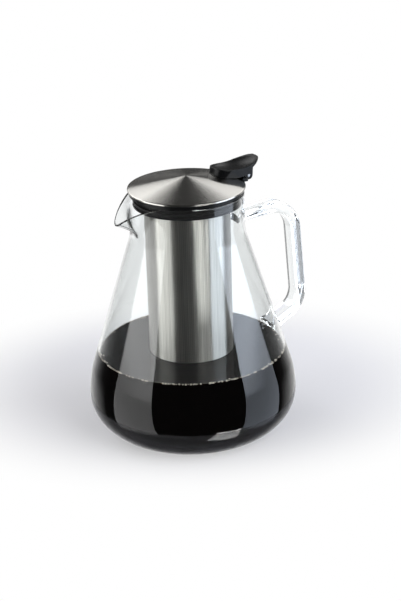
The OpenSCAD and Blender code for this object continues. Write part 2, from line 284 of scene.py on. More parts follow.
# %% Table seen and mirrored
MIRRORED_WHITE = 0.1
mirrored = add(table_paint, "Math", {1: UNMIRRORED}, {0: ray.outputs["Glossy Depth"]},
               operation="GREATER_THAN")
dull = add(table_paint, "Math", {1: MIRRORED_WHITE}, {0: mirrored.outputs[0]}, operation="MULTIPLY")
past = add(table_paint, "Math", links={0: ray.outputs["Is Transmission Ray"], 1: mirrored.outputs[0]},
           operation="SUBTRACT")
sharp = add(table_paint, "Math", links={0: dull.outputs[0], 1: past.outputs[0]}, operation="MAXIMUM")
seen = add(table_paint, "Math", links={0: ray.outputs["Is Camera Ray"], 1: sharp.outputs[0]},
           operation="MAXIMUM")
whiten = add(table_paint, "Math", links={0: fade.outputs[0], 1: seen.outputs[0]}, operation="MULTIPLY")
lit = add(table_paint, "BsdfDiffuse", {"Color": linear(LAMINATE)})
plain = add(table_paint, "Emission", {"Color": WHITE, "Strength": 1.0})
mixed = add(table_paint, "MixShader",
            links={"Fac": whiten.outputs[0], 1: lit.outputs[0], 2: plain.outputs[0]})
print("mirrors show", MIRRORED_WHITE, "of the table's white")

# %% Table open to mirrors
MIRROR_LOSS = 0.45
MIRRORED_R_MM = (106.0, 116.0)
distance = add(table_paint, "VectorMath", links={0: place.outputs["Object"]}, operation="LENGTH")
far = add(table_paint, "MapRange", {"From Min": MIRRORED_R_MM[0] * MM, "From Max": MIRRORED_R_MM[1] * MM,
                                    "To Min": MIRROR_LOSS}, {"Value": distance.outputs["Value"]})
opened = add(table_paint, "Math", links={0: far.outputs[0], 1: mirrored.outputs[0]}, operation="MULTIPLY")
gone = add(table_paint, "BsdfTransparent")
top_face = add(table_paint, "MixShader",
               links={"Fac": opened.outputs[0], 1: mixed.outputs[0], 2: gone.outputs[0]})
add(table_paint, "OutputMaterial", links={"Surface": top_face.outputs[0]})
print("mirrors see no table beyond", MIRRORED_R_MM[1], "mm")

# %% Table top
TABLE_BACK_MM = 450.0
TABLE_SIDE_MM = 330.0
table_corners = [(-TABLE_SIDE_MM, -TABLE_FRONT_MM, 0), (TABLE_SIDE_MM, -TABLE_FRONT_MM, 0),
                 (TABLE_SIDE_MM, TABLE_BACK_MM, 0), (-TABLE_SIDE_MM, TABLE_BACK_MM, 0)]
table = make_piece("table_top", table_corners, [(0, 1, 2, 3)], table_paint)
table.rotation_euler.z = view_azimuth
table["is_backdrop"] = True
print("table is", 2 * TABLE_SIDE_MM, "by", TABLE_FRONT_MM + TABLE_BACK_MM, "mm")

# %% [markdown]
# Seven soft panels and a card below light the jug. The two tall ones stand left and right of the camera, and
# the gap between them draws the black band down the middle of the coffee and the filter. Their upper part is
# brighter, as a softbox is near its bulb. An area lamp is even by itself, so a node tree grades it.

# %% Soft panels
# Heights on a panel, as shares of it, between which its brightness changes
PANEL_FADE = (0.56, 0.66)


def soft_panel(name, bearing_deg, rise_deg, distance_mm, size_mm, low, high, colour="#ffffff"):
    """A lamp panel that faces the jug from a bearing off the camera, right being positive, and from a rise
    over its middle. Its brightness, low and high up, is what a mirror would show, where 1 is white."""
    lamp = with_nodes(bpy.data.lights.new(name, "AREA"))
    lamp.shape = "RECTANGLE"
    lamp.size, lamp.size_y = (side * MM for side in size_mm)
    lamp.energy = math.pi * lamp.size * lamp.size_y
    lamp.color = linear(colour)[:3]
    spot = add(lamp, "NewGeometry")
    split = add(lamp, "SeparateXYZ", links={"Vector": spot.outputs["Parametric"]})
    fall = add(lamp, "MapRange", {"From Min": PANEL_FADE[0], "From Max": PANEL_FADE[1],
                                  "To Min": low, "To Max": high},
               {"Value": split.outputs["Y"]}, interpolation_type="SMOOTHSTEP")
    shine = add(lamp, "Emission", links={"Strength": fall.outputs[0]})
    add(lamp, "OutputLight", links={"Surface": shine.outputs[0]})
    out = way_to(view_azimuth + math.radians(bearing_deg), math.radians(rise_deg))
    panel = bpy.data.objects.new(name, lamp)
    panel.location = (out * distance_mm + Vector((0, 0, view_target_mm.z))) * MM
    panel.rotation_euler = (-out).to_track_quat("-Z", "Y").to_euler()
    panel.visible_camera = False
    bpy.context.scene.collection.objects.link(panel)
    print(name, "power in W", round(lamp.energy * (low + high) / 2, 1))


# %% Place the panels
# Bearing and rise in degrees, distance and size in mm, brightness low and high up, and colour if not white
PANELS = {
    "left_panel": (-68, -9, 950, (840, 1300), 1.6, 2.8),
    "right_panel": (80, -9, 950, (820, 1300), 1.7, 4.2, "#e6f0ff"),
    "high_left_panel": (-105, 34, 1100, (1300, 600), 2.4, 2.4),
    "high_right_panel": (84, 36, 1100, (920, 520), 2.2, 2.2),
    "key_panel": (38.5, 35, 1100, (624, 640), 3.0, 3.0),
    "fill_card": (38.5, -47, 900, (370, 380), 9.5, 9.5),
    "back_left_panel": (-148, 33, 1200, (880, 550), 1.5, 1.5),
    "back_right_panel": (148, 33, 1200, (880, 550), 1.5, 1.5),
}
for name, settings in PANELS.items():
    soft_panel(name, *settings)

# %% [markdown]
# ## Glass
# The jug is blown from clear borosilicate, and its handle is a solid bar of the same glass, fused on while
# hot. Thin glass can be faked by mixing a clear and a glossy shader, but then its edges don't darken and a
# solid bar doesn't bend the view. A dielectric with full transmission does both, so long as the wall is a
# closed skin with a real inside.

# %% Blown borosilicate
# Blown glass gives the eye refraction, a four percent mirror at each face and a faint ripple. The bar was
# bent in a flame, so its mirror is a trace softer.
GLASS_IOR = 1.47
GLASS_TINT = "#fcfefe"
RIPPLE_MM = 30.0
RIPPLE_DEPTH_MM = 0.02
BLOWN_ROUGHNESS = 0.0
BAR_ROUGHNESS = 0.03


def clear_glass(name, roughness):
    """Clear borosilicate with a faint ripple."""
    made = with_nodes(bpy.data.materials.new(name))
    place = add(made, "TexCoord")
    ripple = add(made, "TexNoise", {"Scale": 1 / (RIPPLE_MM * MM), "Detail": 1.0},
                 {"Vector": place.outputs["Object"]})
    bump = add(made, "Bump", {"Strength": 1.0, "Distance": RIPPLE_DEPTH_MM * MM},
               {"Height": ripple.outputs["Fac"]})
    shine = add(made, "BsdfPrincipled", {"Base Color": linear(GLASS_TINT), "Roughness": roughness,
                                         "IOR": GLASS_IOR, "Transmission Weight": 1.0},
                {"Normal": bump.outputs["Normal"]})
    add(made, "OutputMaterial", links={"Surface": shine.outputs[0]})
    return made


glass = clear_glass("blown_borosilicate", BLOWN_ROUGHNESS)
bar_glass = clear_glass("bent_borosilicate_bar", BAR_ROUGHNESS)
print("two glasses with IOR", GLASS_IOR)

# %% [markdown]
# The wall is drawn as half a section: a flat foot with a slight punt, a quarter ellipse up to the bulge, a
# shoulder arc, a straight cone and a neck. Blown glass has no sharp corner, so a large arc, the waist, joins
# the cone to the neck.

# %% Sizes of the wall
JUG_R = 75.0
BULGE_Z = 30.0
SHOULDER_R = 75.0
NECK_R = 40.3
NECK_Z = 151.5
WAIST_R = 40.0
shoulder_x = JUG_R - SHOULDER_R
reach = Vector((NECK_R - shoulder_x, NECK_Z - BULGE_Z))
lean = math.atan2(reach.y, reach.x) - math.acos(SHOULDER_R / reach.length)
waist_z = NECK_Z + WAIST_R * math.tan(lean / 2)
waist_foot_z = waist_z - WAIST_R * math.sin(lean)
print("cone leans by", round(math.degrees(lean), 1), "degrees")

# %% Half section of the wall
FOOT_R = 40.0
FOOT_SHARES = (0.0, 0.3, 0.6, 0.85, 0.95)
WALL = 2.0
FLOOR = 3.0
PUNT = 1.0
CURVE_STEPS = 24


def cone_wall(inset, floor_z, centre_z):
    """The wall from the axis up to the foot of the waist, as (radius, height) points."""
    foot = [(FOOT_R * k, centre_z + (floor_z - centre_z) * k * k) for k in FOOT_SHARES]
    low = [(FOOT_R + (JUG_R - FOOT_R - inset) * math.cos(a), BULGE_Z + (BULGE_Z - floor_z) * math.sin(a))
           for a in (math.pi / 2 * (i / CURVE_STEPS - 1) for i in range(CURVE_STEPS + 1))]
    shoulder = arc((shoulder_x, BULGE_Z), SHOULDER_R - inset, lean / CURVE_STEPS, lean, CURVE_STEPS - 1)
    waist = Vector((NECK_R + WAIST_R - (WAIST_R + inset) * math.cos(lean),
                    waist_z - (WAIST_R + inset) * math.sin(lean)))
    top = Vector(shoulder[-1])
    cone = [tuple(top.lerp(waist, i / CURVE_STEPS)) for i in range(1, CURVE_STEPS + 1)]
    return foot + low + shoulder + cone


outer_wall = cone_wall(0.0, 0.0, PUNT)
inner_wall = cone_wall(WALL, FLOOR, FLOOR + PUNT)
print("half section has", len(outer_wall), "points a side below the neck")

# %% [markdown]
# The spout is pulled from the soft neck with a tool. Its edges leave the neck as tangents, its lip dips
# along an arc, and the wall flares towards it. The pull thins the glass towards the lip and leaves the
# flanks thicker, and that decides how fine the lip's dark line is. So the section changes with the angle,
# and the skin is spun from a list of sections and not from one.

# %% Spout lip
RIM_Z = 179.8
SPOUT_REACH = 56.4
SPOUT_DROP = 13.1
SPOUT_ROUND = math.radians(4.5)
spread = math.acos(NECK_R / SPOUT_REACH)
root_x = NECK_R * math.cos(spread)
spout_run = SPOUT_REACH - root_x
lip_arc_r = (spout_run ** 2 + SPOUT_DROP ** 2) / (2 * SPOUT_DROP)


def lip_place(angle):
    """Radius and height of the lip, at an angle from the spout's tip."""
    soft = math.sqrt(angle ** 2 + SPOUT_ROUND ** 2) - SPOUT_ROUND
    radius = NECK_R / math.cos(max(0.0, spread - soft))
    run = min(spout_run, max(0.0, radius * math.cos(angle) - root_x))
    return radius, RIM_Z - lip_arc_r + math.sqrt(lip_arc_r ** 2 - run ** 2)


print("spout spreads", round(math.degrees(spread), 1), "degrees to each side")

# %% Thickness of the pulled wall
SPOUT_FLARE = 2.1
LIP_THINNING = 0.8
# Angles from the tip between which the thinning dies out
THINNED = (math.radians(55), math.radians(85))


def rise_at(z, top):
    """How far a height is up the spout, from 0 in the neck to 1 at the lip."""
    return max(0.0, (z - NECK_Z) / (top - NECK_Z))


def wall_at(angle, rise):
    """Thickness of the wall along the radius. The pull thins it towards the lip, and the slanting flanks of
    the spout stay thicker than its tip."""
    off = abs((angle + math.pi) % (2 * math.pi) - math.pi)
    slant = math.sqrt(max(0.0, (lip_place(off)[0] / NECK_R) ** 2 - 1))
    slant *= rise ** SPOUT_FLARE * off / math.sqrt(off ** 2 + SPOUT_ROUND ** 2)
    near = min(1.0, max(0.0, (THINNED[1] - off) / (THINNED[1] - THINNED[0])))
    return (WALL - LIP_THINNING * rise * near) * (1 + slant ** 2)


print("lip is", round(wall_at(0.0, 1.0), 2), "mm thick at its tip")

# %% Neck and rim
NECK_STEPS = 22
RIM_STEPS = 20
# A step along the wall that is short enough to give its slope
SLOPE_PROBE = 1e-4


def neck_outside(angle, share):
    """A point of the neck's outside, from the foot of the waist (share 0) to the lip (share 1)."""
    lip_r, lip_z = lip_place(angle)
    top = lip_z - wall_at(angle, 1.0) / 2
    z = waist_foot_z + share * (top - waist_foot_z)
    below = max(0.0, waist_z - z)
    plain_r = NECK_R + WAIST_R - math.sqrt(WAIST_R ** 2 - below ** 2)
    return Vector((plain_r + (lip_r - NECK_R) * rise_at(z, top) ** SPOUT_FLARE, z))


def neck_wall(angle):
    """Outside, round rim and inside of the neck at an angle, as (radius, height) points."""
    outside = [neck_outside(angle, i / NECK_STEPS) for i in range(1, NECK_STEPS + 1)]
    ways = [(neck_outside(angle, i / NECK_STEPS + SLOPE_PROBE) - p).normalized()
            for i, p in enumerate(outside, 1)]
    inside = [p + wall_at(angle, rise_at(p.y, outside[-1].y)) * Vector((-t.y, t.x))
              for p, t in zip(outside, ways)]
    middle, side = (outside[-1] + inside[-1]) / 2, (outside[-1] - inside[-1]) / 2
    rim = [middle + side * math.cos(b) + ways[-1] * math.sin(b) * side.length
           for b in (math.pi * k / RIM_STEPS for k in range(1, RIM_STEPS))]
    return [tuple(p) for p in outside + rim + inside[::-1]]


print("neck section has", len(neck_wall(0.0)), "points")

# %% Spin the jug
# The spout gets closer sections than the plain back
SPOUT_TURNS = 96
BACK_TURNS = 150
SPOUT_MARGIN = math.radians(4)
spout_limit = spread + SPOUT_ROUND + SPOUT_MARGIN
turn_angles = [-spout_limit + 2 * spout_limit * i / SPOUT_TURNS for i in range(SPOUT_TURNS)]
turn_angles += [spout_limit + (2 * math.pi - 2 * spout_limit) * i / BACK_TURNS for i in range(BACK_TURNS)]
jug_sections = [outer_wall + neck_wall(a) + inner_wall[::-1] for a in turn_angles]
jug = make_piece("glass_jug", *spin(jug_sections, [math.pi - a for a in turn_angles]), glass)
print("jug skin has", len(jug.data.polygons), "faces")

# %% [markdown]
# The handle is one bar bent twice. A curve with a bevel would sweep it in one step, but with one section all
# along. Here each ring of points is worked out along straight runs and arcs, so that the rounded square
# section can thin towards the neck and swell where it meets the wall, as hot glass does.

# %% Line of the bar
HANDLE_LINE = [(38.0, 152.9), (86.1, 156.8), (92.4, 76.2), (60.1, 59.5)]
HANDLE_BENDS = [20.0, 18.0]
HANDLE_STEP_MM = 1.0


def bent_line(corners, bends):
    """Points along straight runs joined by arcs, about one step apart."""
    line = [Vector(corners[0])]
    for before, corner, after, radius in zip(corners, corners[1:], corners[2:], bends):
        p = Vector(corner)
        d1, d2 = (Vector(before) - p).normalized(), (Vector(after) - p).normalized()
        half = math.acos(d1.dot(d2)) / 2
        centre = p + (d1 + d2).normalized() * radius / math.sin(half)
        start, end = (p + d * radius / math.tan(half) - centre for d in (d1, d2))
        a0 = math.atan2(start.y, start.x)
        sweep = (math.atan2(end.y, end.x) - a0 + math.pi) % (2 * math.pi) - math.pi
        steps = int(abs(sweep) * radius / HANDLE_STEP_MM) + 1
        line += [Vector(q) for q in arc(centre, radius, a0, a0 + sweep, steps)]
    line.append(Vector(corners[-1]))
    filled = [line[0]]
    for a, b in zip(line, line[1:]):
        steps = max(1, round((b - a).length / HANDLE_STEP_MM))
        filled += [a.lerp(b, i / steps) for i in range(1, steps + 1)]
    return filled


def wall_radius(z):
    """Outer radius of the jug at a height of the cone or neck."""
    if z > waist_z:
        return NECK_R
    if z > waist_foot_z:
        return NECK_R + WAIST_R - math.sqrt(WAIST_R ** 2 - (waist_z - z) ** 2)
    low, high = Vector(outer_wall[-CURVE_STEPS - 1]), Vector(outer_wall[-1])
    return low.x + (high.x - low.x) * (z - low.y) / (high.y - low.y)


# The line is cut just outside the wall, and the ends are fitted to it later
ROOT_CLEARANCE = 0.5
handle_line = [p for p in bent_line(HANDLE_LINE, HANDLE_BENDS) if p.x > wall_radius(p.y) + ROOT_CLEARANCE]
print("bar's line has", len(handle_line), "points")

# %% Rings of the bar
HANDLE_W = 14.0
HANDLE_T = 8.4
HANDLE_ROOT_T = 5.0
HANDLE_THIN_L = 34.0
# Power of the rounded square: 2 is an ellipse, and more is squarer
HANDLE_SQUARE = 4.0
HANDLE_SIDES = 64
ROOT_SWELL = 0.3
ROOT_SWELL_L = 7.0


def handle_section(line, k):
    """The ring of points round the bar at a step of its line."""
    t = (line[min(len(line) - 1, k + 1)] - line[max(0, k - 1)]).normalized()
    x, z = line[k]
    thin = min(1.0, max(0.0, (x - NECK_R) / HANDLE_THIN_L)) if z > NECK_Z - HANDLE_BENDS[0] else 1.0
    thick = HANDLE_ROOT_T + (HANDLE_T - HANDLE_ROOT_T) * thin * thin * (3 - 2 * thin)
    gap = max(0.0, x - wall_radius(z))
    swell = 1 + ROOT_SWELL * max(0.0, 1 - gap / ROOT_SWELL_L) ** 2
    ring = []
    for i in range(HANDLE_SIDES):
        a = 2 * math.pi * i / HANDLE_SIDES
        across, side = (math.copysign(abs(v) ** (2 / HANDLE_SQUARE), v) for v in (math.cos(a), math.sin(a)))
        out = across * thick / 2 * swell
        ring.append(Vector((x - t.y * out, side * HANDLE_W / 2 * swell, z + t.x * out)))
    return ring


rings = [handle_section(handle_line, k) for k in range(len(handle_line))]
print("bar has", len(rings), "rings of", HANDLE_SIDES, "points")

# %% Ends of the bar
# How far along the bar the wall is looked for, and how often that length is halved
WALL_SEARCH_MM = 30.0
WALL_SEARCH_STEPS = 40


def into_wall(ring, end, before):
    """The ring's points moved along the bar's end until they lie in the middle of the jug's wall."""
    run = (end - before).normalized()
    way = Vector((run.x, 0, run.y))
    moved = []
    for p in ring:
        low, high = -WALL_SEARCH_MM, WALL_SEARCH_MM
        for _ in range(WALL_SEARCH_STEPS):
            mid = (low + high) / 2
            q = p + way * mid
            inside = math.hypot(q.x, q.y) < wall_radius(q.z) - WALL / 2
            low, high = (low, mid) if inside else (mid, high)
        moved.append(p + way * low)
    return moved


rings.insert(0, into_wall(rings[0], handle_line[0], handle_line[1]))
rings.append(into_wall(rings[-1], handle_line[-1], handle_line[-2]))
bar_points = [p for ring in rings for p in ring]
bar_faces = [(k * HANDLE_SIDES + i, k * HANDLE_SIDES + (i + 1) % HANDLE_SIDES,
              (k + 1) * HANDLE_SIDES + (i + 1) % HANDLE_SIDES, (k + 1) * HANDLE_SIDES + i)
             for k in range(len(rings) - 1) for i in range(HANDLE_SIDES)]
bar_faces.append(tuple(range(HANDLE_SIDES))[::-1])
bar_faces.append(tuple((len(rings) - 1) * HANDLE_SIDES + i for i in range(HANDLE_SIDES)))
bar = make_piece("handle_bar", bar_points, bar_faces, bar_glass)
print("handle bar has", len(bar_faces), "faces")

# %% [markdown]
# A glass worker melts the bar's ends into the wall. Two glass skins that only overlap would show a face
# inside the joint, because light bends at every face it meets. So the bar ends in the middle of the wall and
# a union makes the two skins one.

# %% Fuse the handle to the jug
CREASE = math.radians(40)
outward(jug)
outward(bar)
fuse = jug.modifiers.new("fuse", "BOOLEAN")
fuse.operation = "UNION"
fuse.solver = "EXACT"
fuse.material_mode = "TRANSFER"
fuse.object = bar
bpy.context.view_layer.update()
fused = bpy.data.meshes.new_from_object(jug.evaluated_get(bpy.context.evaluated_depsgraph_get()))
jug.modifiers.clear()
jug.data = fused
bpy.data.objects.remove(bar)
fused.shade_smooth()
fused.set_sharp_from_angle(angle=CREASE)
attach(jug, "jug")
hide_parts("jug_body", "jug_handle")
print("fused glass has", len(fused.polygons), "faces")

# %% [markdown]
# ## Coffee
# Black coffee is so dark that a few millimetres look opaque, so an opaque shader does, with no volume to
# compute. Its top is a still, wet mirror that clings to the wall in a small upward curve. The thin edge of
# that curve is amber: partly the brown of a thin film of coffee and partly painted light, for the light that
# shines through it. Against the glass it has no mirror of its own. The fill reaches a hair into the wall, so
# that no film of air shows between them.

# %% Black coffee
# Deep coffee gives the eye a black with a trace of brown, and a sharp mirror where its face is free
COFFEE_IOR = 1.33
COFFEE_Z = 62.4
CLING_H = 1.0
HAZE_MM = 12.0
AMBER_FROM_H = 0.3
STILL_ROUGHNESS = 0.02
WETTED_ROUGHNESS = 0.5


def brewed(owner):
    """Adds the colour of deep coffee, slightly cloudy, and returns its place and colour nodes."""
    place = add(owner, "TexCoord")
    haze = add(owner, "TexNoise", {"Scale": 1 / (HAZE_MM * MM), "Detail": 2.0},
               {"Vector": place.outputs["Object"]})
    tone = add(owner, "Mix", {"A": linear("#030202"), "B": linear("#060404")},
               {"Factor": haze.outputs["Fac"]}, data_type="RGBA")
    return place, tone


coffee_mat = with_nodes(bpy.data.materials.new("black_coffee"))
place, tone = brewed(coffee_mat)
height = add(coffee_mat, "SeparateXYZ", links={"Vector": place.outputs["Object"]})
# The amber edge is partly thin coffee's own brown and partly painted light shining through the cling
thin = add(coffee_mat, "MapRange", {"From Min": (COFFEE_Z + AMBER_FROM_H) * MM,
                                    "From Max": (COFFEE_Z + CLING_H) * MM}, {"Value": height.outputs["Z"]})
amber_and_glow = add(coffee_mat, "Mix", {"B": linear("#4a2e16")}, {"Factor": thin.outputs[0], "A": tone.outputs[2]},
            data_type="RGBA")
shine = add(coffee_mat, "BsdfPrincipled", {"Roughness": STILL_ROUGHNESS, "IOR": COFFEE_IOR},
            {"Base Color": amber_and_glow.outputs[2]})
add(coffee_mat, "OutputMaterial", links={"Surface": shine.outputs[0]})

wet_mat = with_nodes(bpy.data.materials.new("black_coffee_on_glass"))
_, tone = brewed(wet_mat)
shine = add(wet_mat, "BsdfPrincipled", {"Roughness": WETTED_ROUGHNESS, "IOR": COFFEE_IOR,
                                        "Specular IOR Level": 0.0}, {"Base Color": tone.outputs[2]})
add(wet_mat, "OutputMaterial", links={"Surface": shine.outputs[0]})
print("coffee stands at", COFFEE_Z, "mm")

# %% Fill the jug
CLING_W = 2.0
SOAK = 0.1
WET_SLOPE = 0.6
# The outer share of the face that is drawn with its curve, and the rest, which is flat
CURVED_SHARE = 0.4
CURVED_STEPS = 40
FLAT_SHARES = (0.4, 0.2, 0.0)
COFFEE_TURNS = 192
under = [p for p in cone_wall(WALL - SOAK, FLOOR - SOAK, FLOOR + PUNT - SOAK) if p[1] < COFFEE_Z + CLING_H]
edge_r = under[-1][0]


def cling(gap):
    """Height of the coffee's face at a gap from its edge."""
    return COFFEE_Z + CLING_H * math.exp(-gap / CLING_W)


top = [(edge_r * k, cling((1 - k) * edge_r))
       for k in (1 - CURVED_SHARE * i / CURVED_STEPS for i in range(1, CURVED_STEPS + 1))]
top += [(edge_r * k, COFFEE_Z) for k in FLAT_SHARES]
coffee = make_piece("coffee", *turned(under + top, COFFEE_TURNS), coffee_mat)
outward(coffee)
coffee.data.materials.append(wet_mat)
for face in coffee.data.polygons:
    face.material_index = int(face.normal.z < WET_SLOPE)
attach(coffee, "jug")
print("coffee edge radius", round(edge_r, 1))

# %% [markdown]
# Poured coffee leaves a broken ring of bubbles where it meets the glass. Each is about a millimetre wide, so
# they are small balls in one mesh. Particles could scatter them, but a seeded draw in the script is shorter
# and puts them in the same places every time.

# %% Coffee froth with a painted highlight
# A bubble gives the eye a pale speck with a bright point on it. The pale colour is partly the froth's own
# tan and partly painted highlight, for the light that clear bubbles catch.
MOTTLE_MM = 2.0
FROTH_ROUGHNESS = 0.12
froth_and_highlight = with_nodes(bpy.data.materials.new("coffee_froth_and_highlight"))
place = add(froth_and_highlight, "TexCoord")
mottle = add(froth_and_highlight, "TexNoise", {"Scale": 1 / (MOTTLE_MM * MM)}, {"Vector": place.outputs["Object"]})
# Partly the froth's own tan and partly painted highlight
tone = add(froth_and_highlight, "Mix", {"A": linear("#b5ab9a"), "B": linear("#f0ebe0")}, {"Factor": mottle.outputs["Fac"]},
           data_type="RGBA")
shine = add(froth_and_highlight, "BsdfPrincipled", {"Roughness": FROTH_ROUGHNESS, "IOR": COFFEE_IOR},
            {"Base Color": tone.outputs[2]})
add(froth_and_highlight, "OutputMaterial", links={"Surface": shine.outputs[0]})
print(froth_and_highlight.name, "mottled at", MOTTLE_MM, "mm")

# %% Ring of bubbles
BUBBLES = 420
BUBBLE_R = (0.3, 0.7)
BUBBLE_SEED = 7
# How fast the bubbles thin out away from the glass, per mm
BUBBLE_FALL = 2.0
BALL_ROWS = 6
BALL_TURNS = 8


def ball(centre, radius):
    """Points and faces of a small ball."""
    half = [(radius * math.sin(math.pi * i / BALL_ROWS), -radius * math.cos(math.pi * i / BALL_ROWS))
            for i in range(BALL_ROWS + 1)]
    points, faces = turned(half, BALL_TURNS)
    return [Vector(p) + centre for p in points], faces


draw = random.Random(BUBBLE_SEED)
froth_points, froth_faces = [], []
for _ in range(BUBBLES):
    size = draw.uniform(*BUBBLE_R)
    out = edge_r - size - draw.expovariate(BUBBLE_FALL)
    bearing = draw.uniform(0, 2 * math.pi)
    centre = Vector((out * math.cos(bearing), out * math.sin(bearing), cling(edge_r - out)))
    points, faces = ball(centre, size)
    froth_faces += [tuple(i + len(froth_points) for i in f) for f in faces]
    froth_points += points
bubbles = make_piece("bubble_ring", froth_points, froth_faces, froth_and_highlight)
outward(bubbles)
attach(bubbles, "jug")
print(BUBBLES, "bubbles,", len(froth_faces), "faces")

# %% [markdown]
# ## Steel
# The filter is a thin perforated sheet, rolled, lapped at a seam and rubbed round and round. Cut holes would
# need about a million faces, so they are a pattern in the material: painted shade, a darker colour at each
# hole for the dark inside that would show through it. The grooves of the rubbing are too fine to see one by
# one: they smear a reflection across themselves and keep it sharp along themselves. An anisotropic metal
# with its tangent round the axis gives that.

# %% Filter sheet laid flat
# The pattern needs the sheet as it was before rolling: the way round it, and the height
SLEEVE_R = 30.2
filter_steel = with_nodes(bpy.data.materials.new("perforated_brushed_steel"))
place = add(filter_steel, "TexCoord")
split = add(filter_steel, "SeparateXYZ", links={"Vector": place.outputs["Object"]})
angle = add(filter_steel, "Math", links={0: split.outputs["Y"], 1: split.outputs["X"]}, operation="ARCTAN2")
along = add(filter_steel, "Math", {1: SLEEVE_R * MM}, {0: angle.outputs[0]}, operation="MULTIPLY")
sheet = add(filter_steel, "CombineXYZ", links={"X": along.outputs[0], "Y": split.outputs["Z"]})
print("sheet is", round(2 * math.pi * SLEEVE_R), "mm long before rolling")

# %% Brushed filter steel
# Real holes are about half a millimetre apart, and the faint streaks that run up the sheet are finer than
# that. Both are drawn coarser, so that they show. Perforated steel gives the eye a soft grey with a fine
# grid of painted shade at the holes, and an upright band of light for each lamp.
HOLE_PITCH_MM = 1.3
HOLE_EDGE = (0.25, 0.4)
PAINTED_HOLE_SHADE = 0.75
STREAK_MM = 1.8
STREAK_STRETCH = 0.02
FILTER_ROUGHNESS = (0.34, 0.46)
QUARTER_TURN = 0.25
holes = add(filter_steel, "TexVoronoi", {"Scale": 1 / (HOLE_PITCH_MM * MM), "Randomness": 0.0},
            {"Vector": sheet.outputs[0]}, voronoi_dimensions="2D")
# Painted shade: the colour is darkened at each hole for the dark inside seen through it
painted_hole_shade = add(filter_steel, "MapRange", {"From Min": HOLE_EDGE[0], "From Max": HOLE_EDGE[1],
                                         "To Min": PAINTED_HOLE_SHADE, "To Max": 1.0},
              {"Value": holes.outputs["Distance"]})
stretched = add(filter_steel, "VectorMath", {1: (1.0, STREAK_STRETCH, 1.0)}, {0: sheet.outputs[0]},
                operation="MULTIPLY")
streak = add(filter_steel, "TexNoise", {"Scale": 1 / (STREAK_MM * MM), "Detail": 3.0},
             {"Vector": stretched.outputs[0]})
tone = add(filter_steel, "Mix", {"A": linear("#9c9a93"), "B": linear("#f2f0ea")},
           {"Factor": streak.outputs["Fac"]}, data_type="RGBA")
shade = add(filter_steel, "Mix", {"Factor": 1.0}, {"A": tone.outputs[2], "B": painted_hole_shade.outputs[0]},
            data_type="RGBA", blend_type="MULTIPLY")
rough = add(filter_steel, "MapRange", {"To Min": FILTER_ROUGHNESS[0], "To Max": FILTER_ROUGHNESS[1]},
            {"Value": streak.outputs["Fac"]})
grooves = add(filter_steel, "Tangent", direction_type="RADIAL", axis="Z")
shine = add(filter_steel, "BsdfPrincipled", {"Metallic": 1.0, "Anisotropic": 1.0,
                                             "Anisotropic Rotation": QUARTER_TURN},
            {"Base Color": shade.outputs[2], "Roughness": rough.outputs[0], "Tangent": grooves.outputs[0]})
add(filter_steel, "OutputMaterial", links={"Surface": shine.outputs[0]})
print("holes every", HOLE_PITCH_MM, "mm and streaks", STREAK_MM, "mm wide")

# %% [markdown]
# The rolled sheet laps over itself along a seam, so its radius closes in by a little over the last part of
# the turn. A plain tube would hide that line, which the eye takes as a sign of sheet metal.

# %% Filter sleeve
SHEET = 0.5
EDGE = 0.15
SEAM_ANGLE = math.radians(-93)
SEAM_STEP = 0.2
LAP_SHARE = 0.1
SLEEVE_TURNS = 192
sleeve_low, sleeve_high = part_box("infuser_sleeve")
sleeve_z = [sleeve_low.z / MM, sleeve_high.z / MM]


def sleeve_section(share):
    """The sheet's section at a share of the way round from the lapped seam."""
    r = SLEEVE_R - SEAM_STEP * max(0.0, (share - (1 - LAP_SHARE)) / LAP_SHARE)
    z0, z1 = sleeve_z
    return [(r - SHEET, z0 + EDGE), (r - SHEET + EDGE, z0), (r - EDGE, z0), (r, z0 + EDGE),
            (r, z1 - EDGE), (r - EDGE, z1), (r - SHEET + EDGE, z1), (r - SHEET, z1 - EDGE)]


shares = [i / SLEEVE_TURNS for i in range(SLEEVE_TURNS)]
sleeve = make_piece("filter_sleeve", *spin([sleeve_section(s) for s in shares],
                                           [SEAM_ANGLE + 2 * math.pi * s for s in shares]), filter_steel)
outward(sleeve)
sleeve.data.set_sharp_from_angle(angle=CREASE)
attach(sleeve, "infuser")
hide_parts("infuser_sleeve")
print("sleeve's ends are at", [round(z, 1) for z in sleeve_z], "mm")

# %% [markdown]
# The lid is spun on a lathe against a fine abrasive, which leaves rings round its middle. Rings could be
# modelled, but they are far finer than a face. A noise of the radius alone draws them, and the same kind of
# anisotropic metal as the filter's fans the light out into bright and dark sectors.

# %% Spun lid steel
# Spun steel gives the eye bright and dark sectors that meet in the middle. Its rings are drawn coarser than
# real ones, so that they show.
RING_MM = 0.8
LID_ROUGHNESS = (0.2, 0.28)
LID_ANISOTROPY = 0.95
lid_steel = with_nodes(bpy.data.materials.new("spun_stainless_steel"))
place = add(lid_steel, "TexCoord")
flat = add(lid_steel, "VectorMath", {1: (1, 1, 0)}, {0: place.outputs["Object"]}, operation="MULTIPLY")
radius = add(lid_steel, "VectorMath", links={0: flat.outputs[0]}, operation="LENGTH")
lathe = add(lid_steel, "TexNoise", {"Scale": 1 / (RING_MM * MM), "Detail": 2.0},
            {"W": radius.outputs["Value"]}, noise_dimensions="1D")
tone = add(lid_steel, "Mix", {"A": linear("#bcbab5"), "B": linear("#d8d6d1")},
           {"Factor": lathe.outputs["Fac"]}, data_type="RGBA")
rough = add(lid_steel, "MapRange", {"To Min": LID_ROUGHNESS[0], "To Max": LID_ROUGHNESS[1]},
            {"Value": lathe.outputs["Fac"]})
grooves = add(lid_steel, "Tangent", direction_type="RADIAL", axis="Z")
